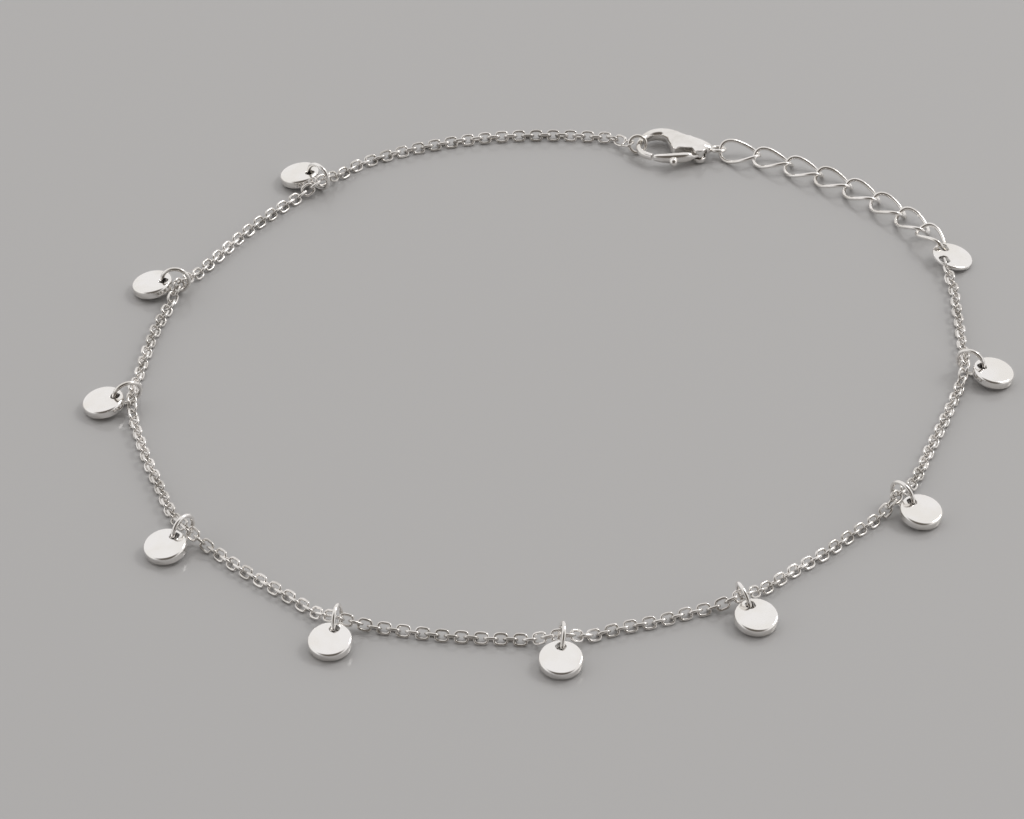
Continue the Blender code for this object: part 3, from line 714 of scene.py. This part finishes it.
def temp_object(name, mesh, matrix=None):
    obj = bpy.data.objects.new(name, mesh)
    bpy.context.scene.collection.objects.link(obj)
    if matrix is not None:
        obj.matrix_world = matrix
    return obj


def drilled_disc(name, profile, holes, radius, thickness, lip):
    disc = temp_object(name, lathe_mesh(name, profile, DISC_SIDES))
    cutters = []
    for x, y in holes:
        cutter = temp_object("cutter", hole_cutter("cutter", radius, thickness, lip, HOLE_SIDES),
                             Matrix.Translation((x, y, 0.0)))
        boolean(disc, cutter, "DIFFERENCE")
        cutters.append(cutter)
    bpy.context.view_layer.update()
    mesh = bake(disc)
    for cutter in cutters:
        bpy.data.objects.remove(cutter)
    return mesh


def shade_by_angle(mesh, degrees):
    for poly in mesh.polygons:
        poly.use_smooth = True
    mesh.set_sharp_from_angle(angle=math.radians(degrees))


DISC_MESH = drilled_disc("charm_disc", arc_profile(DISC_DIAMETER / 2.0, DISC_THICKNESS,
                         DISC_TOP_BEVEL * 2.2, DISC_BOTTOM_ROUND * 1.15, 7),
                         [(DISC_HOLE_REACH, 0.0)], DISC_HOLE / 2.0, DISC_THICKNESS, HOLE_LIP)
RING_SHAPE = circle_points(RING_OUTER, RING_WIRE, LOOP_POINTS)

charm_rows = [row for row in CHAIN_ROUTE if len(row) > 2]
for number, row in enumerate(charm_rows, start=1):
    chain_spot = Vector((row[0] * MM, row[1] * MM, 0.0))
    ring_way = direction(row[2])
    disc_way = direction(row[3])
    lean = math.radians(row[4])
    centre = chain_spot + ring_way * RING_TO_CHAIN
    centre.z = RING_OUTER / 2.0
    side = Vector((0.0, 0.0, 1.0)).cross(ring_way)
    upright = frame_matrix(ring_way, side, centre)
    pivot = Vector((centre.x, centre.y, RING_LEAN_HEIGHT))
    swing = Matrix.Translation(pivot) @ Matrix.Rotation(lean, 4, ring_way)
    ring_place = TO_WORLD @ swing @ Matrix.Translation(-pivot) @ upright
    ring_name = "charm_ring_%d" % number
    mesh = joined_loops(ring_name + "_fine", [(RING_SHAPE, RING_WIRE, WIRE_SIDES, ring_place)])
    new_piece(ring_name + "_fine", mesh, "polished_silver", "anklet", ring_name)

    hole_top = centre + ring_way * RING_TO_DISC_HOLE
    reach = DISC_HOLE_REACH * math.cos(DISC_TILT) - DISC_THICKNESS * math.sin(DISC_TILT)
    spot = Vector((hole_top.x, hole_top.y, 0.0)) + disc_way * reach
    spot.z = (DISC_DIAMETER / 2.0 - DISC_BOTTOM_ROUND) * math.sin(DISC_TILT)
    tilt = Matrix.Rotation(-DISC_TILT, 3, "Y")
    turn = Matrix.Rotation(math.radians(row[3]) + math.pi, 3, "Z")
    disc_place = TO_WORLD @ Matrix.Translation(spot) @ (turn @ tilt).to_4x4()
    disc_name = "charm_disc_%d" % number
    mesh = DISC_MESH.copy()
    mesh.name = disc_name + "_fine"
    mesh.transform(disc_place)
    shade_by_angle(mesh, 28.0)
    new_piece(disc_name + "_fine", mesh, "disc_silver", "anklet", disc_name)

# End ring, extender, tag
shape = circle_points(END_RING_OUTER, END_RING_WIRE, END_RING_POINTS)
place = TO_WORLD @ end_ring_matrix()
mesh = joined_loops("end_ring_fine", [(shape, END_RING_WIRE, WIRE_SIDES, place)])
new_piece("end_ring_fine", mesh, "polished_silver", "anklet", "end_ring")

CURB_SHAPE = oval_points(CURB_LENGTH, CURB_WIDTH, CURB_WIRE, LOOP_POINTS, LINK_SQUARENESS,
                         CURB_TWIST)
for i, (spot, along, roll) in enumerate(places):
    up = Matrix.Rotation(roll, 3, along) @ Vector((0.0, 0.0, 1.0))
    lowest = min((Matrix.Rotation(roll, 3, "X") @ p).z for p in CURB_SHAPE)
    height = CURB_WIRE / 2.0 - lowest
    place = TO_WORLD @ frame_matrix(along, up, Vector((spot.x, spot.y, height)))
    name = "extender_link_%d" % (i + 1)
    mesh = joined_loops(name + "_fine", [(CURB_SHAPE, CURB_WIRE, WIRE_SIDES, place)])
    new_piece(name + "_fine", mesh, "polished_silver", "anklet", name)

tag_mesh = drilled_disc("tag", arc_profile(TAG_DIAMETER / 2.0, TAG_THICKNESS, TAG_BEVEL * 1.6,
                        TAG_BEVEL * 1.6, 6),
                        [(-TAG_HOLE_IN, TAG_HOLE_SIDE), (-TAG_HOLE_IN, -TAG_HOLE_SIDE)],
                        TAG_HOLE / 2.0, TAG_THICKNESS, HOLE_LIP)
tag_mesh.transform(TO_WORLD @ tag_place)
tag_mesh.name = "tag_disc_fine"
shade_by_angle(tag_mesh, 28.0)
new_piece("tag_disc_fine", tag_mesh, "disc_silver", "anklet", "tag_disc")


# Clasp
def spline_rows(rows, steps):
    """Rows of a station table, filled in smoothly between its own rows."""
    table = np.array(rows)
    padded = np.vstack([2.0 * table[0] - table[1], table, 2.0 * table[-1] - table[-2]])
    filled = [table[0]]
    for i in range(1, len(padded) - 2):
        before, start, end, after = padded[i - 1:i + 3]
        for step in range(1, steps + 1):
            t = step / steps
            b = end - before
            c = 2.0 * before - 5.0 * start + 4.0 * end - after
            d = 3.0 * start - before - 3.0 * end + after
            filled.append((2.0 * start + b * t + c * t * t + d * t * t * t) / 2.0)
    return filled


def station_sweep(name, stations, height, sides, steps):
    """Solid through flat oval stations along a route in the clasp's own plane."""
    rows = spline_rows(stations, steps)
    knots = [Vector((row[0] * CLASP_LENGTH, row[1] * CLASP_WIDTH, 0.0)) for row in rows]
    bm = bmesh.new()
    rings = []
    for i, row in enumerate(rows):
        ahead = knots[min(i + 1, len(knots) - 1)]
        back = knots[max(i - 1, 0)]
        along = (ahead - back).normalized()
        side = Vector((-along.y, along.x, 0.0))
        ring = []
        for k in range(sides):
            angle = 2.0 * math.pi * (k + 0.5) / sides
            wide = math.copysign(abs(math.cos(angle)) ** CLASP_SQUARENESS, math.cos(angle))
            high = math.copysign(abs(math.sin(angle)) ** CLASP_SQUARENESS, math.sin(angle))
            spot = knots[i] + side * wide * row[2] * CLASP_WIDTH
            spot.z = high * row[3] * height
            ring.append(bm.verts.new(spot))
        rings.append(ring)
    for near, far in zip(rings, rings[1:]):
        for k in range(sides):
            nxt = (k + 1) % sides
            bm.faces.new((near[k], near[nxt], far[nxt], far[k]))
    bm.faces.new(tuple(reversed(rings[0])))
    bm.faces.new(tuple(rings[-1]))
    bmesh.ops.recalc_face_normals(bm, faces=bm.faces)
    return mesh_of(name, bm)


def barrel(name, radius, height, sides, bevel=0.0):
    """Short round bar around local zero, its two rims broken by a small bevel."""
    half = height / 2.0
    profile = [(0.0, -half), (radius - bevel, -half), (radius, -half + bevel),
               (radius, half - bevel), (radius - bevel, half), (0.0, half)]
    return lathe_mesh(name, profile, sides)


def prism_mesh(name, outline, height):
    bm = bmesh.new()
    spots = [(along * CLASP_LENGTH, across * CLASP_WIDTH) for along, across in outline]
    low = [bm.verts.new((x, y, -height / 2.0)) for x, y in spots]
    high = [bm.verts.new((x, y, height / 2.0)) for x, y in spots]
    count = len(spots)
    for k in range(count):
        nxt = (k + 1) % count
        bm.faces.new((low[k], low[nxt], high[nxt], high[k]))
    bm.faces.new(tuple(reversed(low)))
    bm.faces.new(tuple(high))
    bmesh.ops.recalc_face_normals(bm, faces=bm.faces)
    return mesh_of(name, bm)


def cast_piece(name, forms, cuts, pins, voxel, rounds):
    """Melts overlapping forms into one, cuts it, adds pins, then softens it as a casting is.

    The work is done a thousand times larger, because voxels can't be as small as it needs.
    """
    larger = Matrix.Scale(1000.0, 4)
    bm = bmesh.new()
    for mesh, matrix in forms:
        mesh.transform(larger @ matrix)
        bm.from_mesh(mesh)
    obj = temp_object(name, mesh_of(name, bm))
    melt = obj.modifiers.new("melt", "REMESH")
    melt.mode = "VOXEL"
    melt.voxel_size = voxel * 1000.0
    tools = []
    for group, operation in ((cuts, "DIFFERENCE"), (pins, "UNION")):
        for mesh, matrix in group:
            mesh.transform(larger @ matrix)
            tool = temp_object("tool", mesh)
            boolean(obj, tool, operation)
            tools.append(tool)
    remesh = obj.modifiers.new("voxel", "REMESH")
    remesh.mode = "VOXEL"
    remesh.voxel_size = voxel * 1000.0
    soften = obj.modifiers.new("soften", "SMOOTH")
    soften.factor = 0.5
    soften.iterations = rounds
    bpy.context.view_layer.update()
    mesh = bake(obj)
    mesh.transform(Matrix.Scale(0.001, 4))
    mesh.name = name
    for tool in tools:
        bpy.data.objects.remove(tool)
    for poly in mesh.polygons:
        poly.use_smooth = True
    return mesh


at_pivot = Matrix.Translation((PIVOT[0], PIVOT[1], 0.0))
eye_shape = circle_points(EYE_OUTER, EYE_WIRE, EYE_POINTS)
eye_verts, eye_faces = loop_arrays(eye_shape, EYE_WIRE, WIRE_SIDES)
eye_mesh = mesh_from("eye", eye_verts, eye_faces)
eye_place = Matrix.Translation((EYE_CENTRE[0], EYE_CENTRE[1], 0.0))
eye_place = eye_place @ Matrix.Rotation(EYE_ROLL, 4, "X")
slot_height = TONGUE_THICKNESS + 2.0 * PIVOT_CLEARANCE
lever_room = LEVER_HEIGHT + 2.0 * LEVER_CLEARANCE
body_mesh = cast_piece(
    "clasp_body_fine",
    [
        (station_sweep("arm", BODY_STATIONS, CLASP_THICKNESS, 28, 6), Matrix.Identity(4)),
        (eye_mesh, eye_place),
        (barrel("lug", LUG_RADIUS, LUG_HEIGHT, 40, 0.08 * MM), at_pivot),
    ],
    [
        (barrel("slot", LUG_RADIUS + LUG_RELIEF, slot_height, 40), at_pivot),
        (prism_mesh("room", LEVER_SLOT, lever_room), Matrix.Identity(4)),
    ],
    [(barrel("pin", PIVOT_PIN / 2.0, (LUG_HEIGHT + slot_height) / 2.0, 24), at_pivot)],
    0.045 * MM, 4)
body_mesh.transform(TO_WORLD @ clasp_matrix())
new_piece("clasp_body_fine", body_mesh, "polished_silver", "anklet", "clasp_body")

knob_bm = bmesh.new()
bmesh.ops.create_uvsphere(knob_bm, u_segments=32, v_segments=18, radius=KNOB_RADIUS)
knob_mesh = mesh_of("knob", knob_bm)
knob_place = Matrix.Translation((KNOB_SHARE[0] * CLASP_LENGTH, KNOB_SHARE[1] * CLASP_WIDTH, 0.0))
lever_mesh = cast_piece(
    "clasp_lever_fine",
    [
        (station_sweep("bar", LEVER_STATIONS, LEVER_HEIGHT, 24, 6), Matrix.Identity(4)),
        (barrel("boss", TONGUE_RADIUS, TONGUE_THICKNESS, 40), at_pivot),
        (knob_mesh, knob_place),
    ],
    [(barrel("bore", PIVOT_PIN / 2.0 + PIVOT_CLEARANCE, 2.0 * LEVER_HEIGHT, 24), at_pivot)],
    [],
    0.04 * MM, 3)
lever_mesh.transform(TO_WORLD @ clasp_matrix())
new_piece("clasp_lever_fine", lever_mesh, "polished_silver", "lever", "clasp_lever")


# Stage, light and camera
def floor_material():
    mat = bpy.data.materials.new("pale_floor")
    mat.use_nodes = True
    shader = mat.node_tree.nodes["Principled BSDF"]
    shader.inputs["Base Color"].default_value = (0.535, 0.531, 0.53, 1.0)
    shader.inputs["Roughness"].default_value = 0.16
    shader.inputs["IOR"].default_value = 1.45
    return mat


floor_bm = bmesh.new()
bmesh.ops.create_grid(floor_bm, x_segments=1, y_segments=1, size=3.0)
floor_mesh = mesh_of("floor", floor_bm)
floor = temp_object("floor", floor_mesh)
floor_mesh.materials.append(floor_material())


def area_light(name, spot, target, size_x, size_y, power, colour):
    data = bpy.data.lights.new(name, "AREA")
    data.shape = "RECTANGLE"
    data.size = size_x
    data.size_y = size_y
    data.energy = power
    data.color = colour
    obj = bpy.data.objects.new(name, data)
    bpy.context.scene.collection.objects.link(obj)
    obj.location = spot
    obj.rotation_euler = (Vector(target) - Vector(spot)).to_track_quat("-Z", "Y").to_euler()
    return obj


def studio_world(viewer_way, pale_end, dark_start):
    """White tent all round, with a dark opening where the viewer stands."""
    world = bpy.data.worlds.new("studio")
    world.use_nodes = True
    nodes = world.node_tree.nodes
    links = world.node_tree.links
    coords = nodes.new("ShaderNodeTexCoord")
    facing = nodes.new("ShaderNodeVectorMath")
    facing.operation = "DOT_PRODUCT"
    facing.inputs[1].default_value = viewer_way
    spread = nodes.new("ShaderNodeMapRange")
    spread.interpolation_type = "SMOOTHSTEP"
    spread.inputs["From Min"].default_value = pale_end
    spread.inputs["From Max"].default_value = dark_start
    tones = nodes.new("ShaderNodeValToRGB")
    tones.color_ramp.elements[0].color = (0.87, 0.858, 0.85, 1.0)
    tones.color_ramp.elements[1].color = (0.12, 0.105, 0.092, 1.0)
    links.new(coords.outputs["Generated"], facing.inputs[0])
    links.new(facing.outputs["Value"], spread.inputs["Value"])
    links.new(spread.outputs["Result"], tones.inputs["Fac"])
    links.new(tones.outputs["Color"], nodes["Background"].inputs["Color"])
    nodes["Background"].inputs["Strength"].default_value = 1.0
    bpy.context.scene.world = world


# The tent lights all sides; a smaller source at the right and back adds glints and shadows
studio_world((0.0, -0.8, 0.6), 0.5, 0.9)
area_light("key_right", (0.6, 0.34, 0.72), (0.0, 0.0, 0.0), 0.3, 0.3, 1.7, (1.0, 0.985, 0.965))
bpy.context.scene.view_settings.view_transform = "Standard"

CAMERA_LENS = 168.75
CAMERA_DISTANCE = 0.49026
CAMERA_PITCH = math.radians(37.0)
camera_data = bpy.data.cameras.new("camera")
camera_data.sensor_width = 36.0
camera_data.lens = CAMERA_LENS
camera_data.clip_start = 0.01
camera_data.clip_end = 20.0
camera = bpy.data.objects.new("camera", camera_data)
bpy.context.scene.collection.objects.link(camera)
camera.location = SHIFT + Vector((0.0, -CAMERA_DISTANCE * math.cos(CAMERA_PITCH),
                                  CAMERA_DISTANCE * math.sin(CAMERA_PITCH)))
camera.rotation_euler = (math.pi / 2.0 - CAMERA_PITCH, 0.0, 0.0)
bpy.context.scene.camera = camera

bpy.context.view_layer.update()
